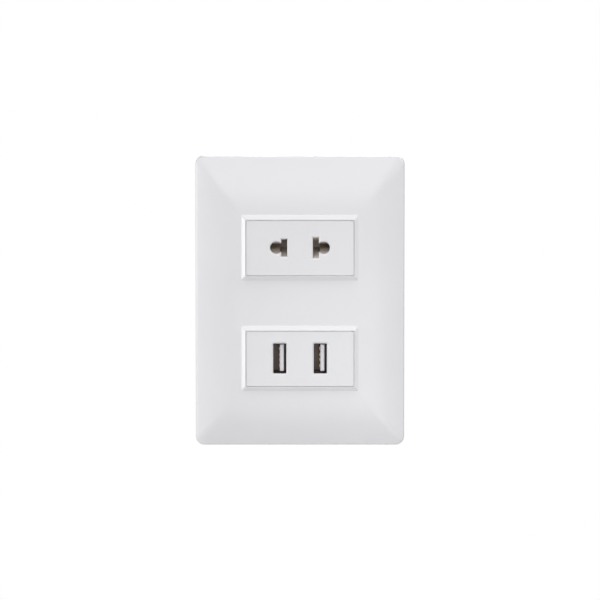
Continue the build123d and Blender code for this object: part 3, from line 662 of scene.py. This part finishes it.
# moulded, stamped and ground pieces: copies of the CAD solids with their sharp edges rounded
outsideRounds = {   # mm, for large mouldings whose insides don't show
    "mounting_frame": 0.2,
    "socket_base": 0.15,
    "usb_base": 0.15,
}
edgeRounds = {      # mm, for small pieces that are rounded all over
    "transformer_core": 0.2,
    "transformer_bobbin": 0.12,
    "socket_left_contact": 0.1,
    "socket_right_contact": 0.1,
    "usb_left_terminal": 0.06,
    "usb_right_terminal": 0.06,
    "socket_left_clamp": 0.12,
    "socket_right_clamp": 0.12,
    "usb_left_clamp": 0.12,
    "usb_right_clamp": 0.12,
}
roundSteps = 2          # faces across a rounding
sharpAngle = math.radians(40)
flatAngle = math.radians(1)
asPlaced = {"turn": (0, 0, 0), "unit": 1}   # a copy of a CAD node lies in its place already
slotOf = {part["node"]: part["material_slot"] for part in frame["record"]["subparts"]}
bodyOf = {node: body for body, nodes in frame["record"]["behaviour"]["bodies"].items() for node in nodes}


def mergedCopy(node):
    solid = bpy.data.objects.new(node, frame["nodes"][node].data.copy())
    bpy.context.collection.objects.link(solid)
    bpy.ops.object.select_all(action="DESELECT")
    solid.select_set(True)
    bpy.context.view_layer.objects.active = solid
    bpy.ops.object.mode_set(mode="EDIT")
    bpy.ops.mesh.select_all(action="SELECT")
    bpy.ops.mesh.remove_doubles(threshold=mergeDistance * mm)
    bpy.ops.mesh.dissolve_limited(angle_limit=flatAngle)
    bpy.ops.object.mode_set(mode="OBJECT")
    return solid


def soften(width):
    applyModifier(
        "BEVEL", width=width * mm, segments=roundSteps, limit_method="ANGLE", angle_limit=sharpAngle)


def softenOutside(width):
    # only the sharp edges on the outside of the piece's box, not clamped, or one short edge undoes it
    points = [vertex.co for vertex in bpy.context.object.data.vertices]
    corners = [[limit(point[i] for point in points) for i in range(3)] for limit in (min, max)]

    def outside(edge):
        sharp = edge.is_manifold and edge.calc_face_angle() > sharpAngle
        return sharp and any(
            all(abs(vertex.co[i] - corner[i]) < mergeDistance * mm for vertex in edge.verts)
            for corner in corners for i in range(3))

    bpy.ops.object.mode_set(mode="EDIT")
    pick("EDGE", outside)
    bpy.ops.mesh.bevel(
        offset=width * mm, segments=roundSteps, affect="EDGES", clamp_overlap=False, loop_slide=False)
    bpy.ops.mesh.select_all(action="SELECT")
    bpy.ops.mesh.remove_doubles(threshold=mergeDistance * mm)
    bpy.ops.object.mode_set(mode="OBJECT")


def camelCase(node, ending=""):
    words = node.split("_")
    return words[0] + "".join(word.title() for word in words[1:]) + ending


for rounds, roundOff in ((outsideRounds, softenOutside), (edgeRounds, soften)):
    for node, width in rounds.items():
        solid = mergedCopy(node)
        roundOff(width)
        settle(solid, camelCase(node), bodyOf[node], slotOf[node], node, **asPlaced)
print("edges rounded on", len(outsideRounds) + len(edgeRounds), "pieces")


# USB tongues: each is parted at its root into the pale tongue and the insulator that carries it, whose dark
# brown grey is painted shade for the back of the port
tongue = {
    "root": 1.4,            # mm behind the wall's surface
    "parting": 0.005,       # mm that each part keeps clear of the cut
    "round": 0.12,
    "insulatorRound": 0.08,
}
# painted shade: the insulator is the tongue's own pale nylon, coloured brown grey, dull and finely mottled
# for the dark at the back of the port
portShadeFinish = makeSurface("paintedPortShade", {
    "tones": ("#857a77", "#938885"), "patch": 1.2, "roughness": (0.5, 0.62),
    "grain": 0.2, "relief": 0.12, "ior": 1.55})


def tonguePart(node, facing, width):
    part = mergedCopy(node)
    bpy.ops.object.mode_set(mode="EDIT")
    bpy.ops.mesh.select_all(action="SELECT")
    place = (0, (tongue["root"] - facing * tongue["parting"]) * mm, 0)
    bpy.ops.mesh.bisect(
        plane_co=place, plane_no=(0, facing, 0), clear_outer=True, use_fill=True,
        threshold=cutThreshold * mm)
    bpy.ops.object.mode_set(mode="OBJECT")
    soften(width)
    return part


for node in ("usb_left_tongue", "usb_right_tongue"):
    paleTongue = tonguePart(node, 1, tongue["round"])
    settle(paleTongue, camelCase(node), "root", "tongue_plastic", node, **asPlaced)
    insulator = tonguePart(node, -1, tongue["insulatorRound"])
    settle(insulator, camelCase(node, "Insulator"), "root", "black_plastic", **asPlaced)
    # the slot's black gives way to painted shade, a brown grey standing for the dark at the back of the port
    insulator.data.materials[0] = portShadeFinish
print("tongues parted from their insulators")


# transformer winding: turns of wire, modelled in millimetres about its own middle, bottom at the origin
winding = {
    "wire": 0.4,
    "corner": 1.2,
    "cornerSteps": 5,
    "tube": (5.8, 6.4),     # what it is wound on
    "hollow": (0.5, 0.13, 0.0, 0.13),   # how far in a turn's round side lies, step by step, in wire widths
}


def modelWinding(size):
    wire = winding["wire"]
    hollow = [share * wire for share in winding["hollow"]]
    steps = len(hollow) * round(size.z / wire)
    half = [size.x / 2, size.y / 2]
    bpy.ops.object.select_all(action="DESELECT")
    bpy.ops.mesh.primitive_plane_add(size=2)
    coil = bpy.context.object
    bpy.ops.object.mode_set(mode="EDIT")
    bpy.ops.transform.resize(value=(*half, 1), center_override=(0, 0, 0))
    bpy.ops.mesh.bevel(offset=winding["corner"], segments=winding["cornerSteps"], affect="VERTICES")
    bpy.ops.mesh.delete(type="ONLY_FACE")
    pick("EDGE", lambda edge: True)
    grow = [(side - hollow[0]) / side for side in half]
    bpy.ops.transform.resize(value=(*grow, 1), center_override=(0, 0, 0))
    for count in range(steps):
        extrude((0, 0, size.z / steps))
        before, after = [hollow[(count + ahead) % len(hollow)] for ahead in (0, 1)]
        grow = [(side - after) / (side - before) for side in half]
        bpy.ops.transform.resize(value=(*grow, 1), center_override=(0, 0, 0))
    extrude()
    grow = [tube / 2 / (side - hollow[0]) for tube, side in zip(winding["tube"], half)]
    bpy.ops.transform.resize(value=(*grow, 1), center_override=(0, 0, 0))
    extrude((0, 0, -size.z))
    pick("EDGE", lambda edge: edge.is_boundary)
    bpy.ops.mesh.bridge_edge_loops()
    bpy.ops.mesh.select_all(action="SELECT")
    bpy.ops.mesh.normals_make_consistent(inside=False)
    bpy.ops.object.mode_set(mode="OBJECT")
    return coil


coilLow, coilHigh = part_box("transformer_winding")
coilPlace = Vector(((coilLow.x + coilHigh.x) / 2, (coilLow.y + coilHigh.y) / 2, coilLow.z)) / mm
settle(modelWinding((coilHigh - coilLow) / mm), "transformerWinding", "root", "copper_winding",
       "transformer_winding", turn=(0, 0, 0), place=coilPlace)
print("winding modelled")

floor = lightStudio()
# matt paper sweep: plain, pale
floor.data.materials.append(makeSurface("paleStudioPaper", {
    "tones": ("#eeeeee", "#f2f2f2"), "patch": 60, "roughness": (0.85, 0.95),
    "grain": 1.5, "relief": 0.02}))
print("studio lit")
